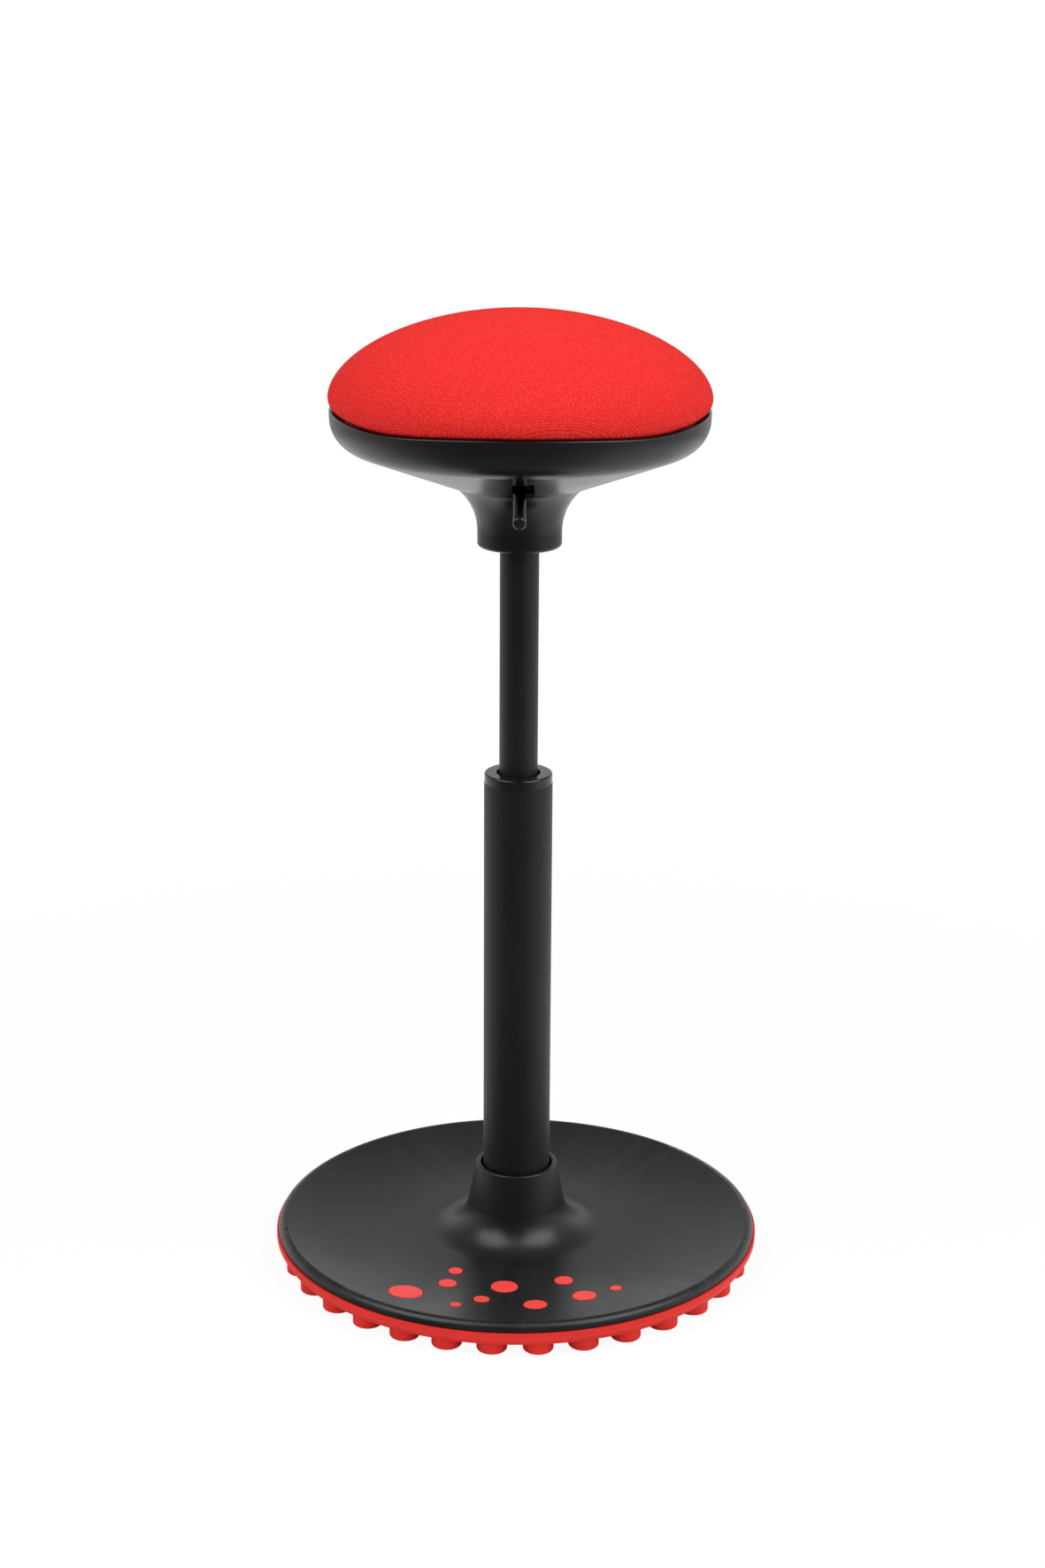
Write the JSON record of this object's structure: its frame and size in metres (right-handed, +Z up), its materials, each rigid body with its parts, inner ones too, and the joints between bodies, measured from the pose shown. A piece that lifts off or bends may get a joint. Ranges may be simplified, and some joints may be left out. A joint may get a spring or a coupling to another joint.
{
  "type": "office stool",
  "caption": "Round domed swivel stool on a height-adjustable gas column, with a dished base on a studded rubber sole and a release lever under the seat.",
  "frame": {"origin": "on the floor at the column axis", "axes": "+Z up along the column; -Y is the front, where the release lever points"},
  "size_m": [0.3639, 0.364, 0.7105],
  "materials": {
    "seat_fabric": "fine woven red upholstery cloth",
    "foam": "moulded seat foam",
    "red_rubber": "matt red rubber",
    "black_rubber": "matt black rubber",
    "black_moulding": "finely grained black plastic",
    "black_gloss": "polished black plastic",
    "bush_plastic": "plain bearing plastic",
    "black_paint": "black powder coat with a fine texture",
    "black_enamel": "glossy black enamel on a steel rod",
    "plain_steel": "plain pressed steel",
    "zinc_steel": "zinc plated steel",
    "bearing_steel": "ground bearing steel",
    "brass_sheet": "pressed brass sheet",
    "piston_alloy": "turned aluminium",
    "plywood": "birch plywood"
  },
  "bodies": {
    "base": {"rubber_sole": "red_rubber", "ballast_plate": "plain_steel", "column_socket": "plain_steel", "base_dish": "black_moulding", "grip_dots": "red_rubber", "sole_screws": "zinc_steel", "outer_tube": "black_paint", "top_cap": "black_gloss", "guide_bush": "bush_plastic", "tube_end_disc": "plain_steel", "lower_race": "bearing_steel", "bearing_balls": "bearing_steel", "ball_cage": "brass_sheet"},
    "spindle": {"upper_race": "bearing_steel", "piston_rod": "bearing_steel", "retaining_clip": "zinc_steel", "buffer_ring": "black_rubber", "piston": "piston_alloy", "piston_nut": "zinc_steel"},
    "seat": {"gas_cylinder": "black_paint", "rod_guide": "bush_plastic", "taper_socket": "plain_steel", "lever_bracket": "plain_steel", "mount_plate": "plain_steel", "mount_bolts": "zinc_steel", "tee_nuts": "zinc_steel", "seat_board": "plywood", "shell_screws": "zinc_steel", "seat_shell": "black_moulding", "pivot_pin": "bearing_steel", "pin_clip": "zinc_steel", "seat_foam": "foam", "seat_cover": "seat_fabric"},
    "lever": {"lever_rod": "black_enamel"},
    "valve": {"release_button": "bearing_steel"}
  },
  "joints": [
    {"name": "seat_swivel", "type": "hinge", "parent": "base", "child": "spindle", "pos_m": [0, 0, 0.03], "axis": [0, 0, 1], "continuous": true},
    {"name": "seat_height", "type": "slide", "parent": "spindle", "child": "seat", "axis": [0, 0, 1], "range_m": [-0.155, 0]},
    {"name": "lever_lift", "type": "hinge", "parent": "seat", "child": "lever", "pos_m": [0, -0.024, 0.60225], "axis": [-1, 0, 0], "range_deg": [0, 8], "stiffness_Nm_per_rad": 0.6, "springref_deg": -5.73},
    {"name": "valve_press", "type": "slide", "parent": "seat", "child": "valve", "axis": [0, 0, -1], "range_m": [0, 0.0036]}
  ],
  "couplings": [
    {"joint": "valve_press", "follows": "lever_lift", "m_per_rad": 0.024}
  ]
}
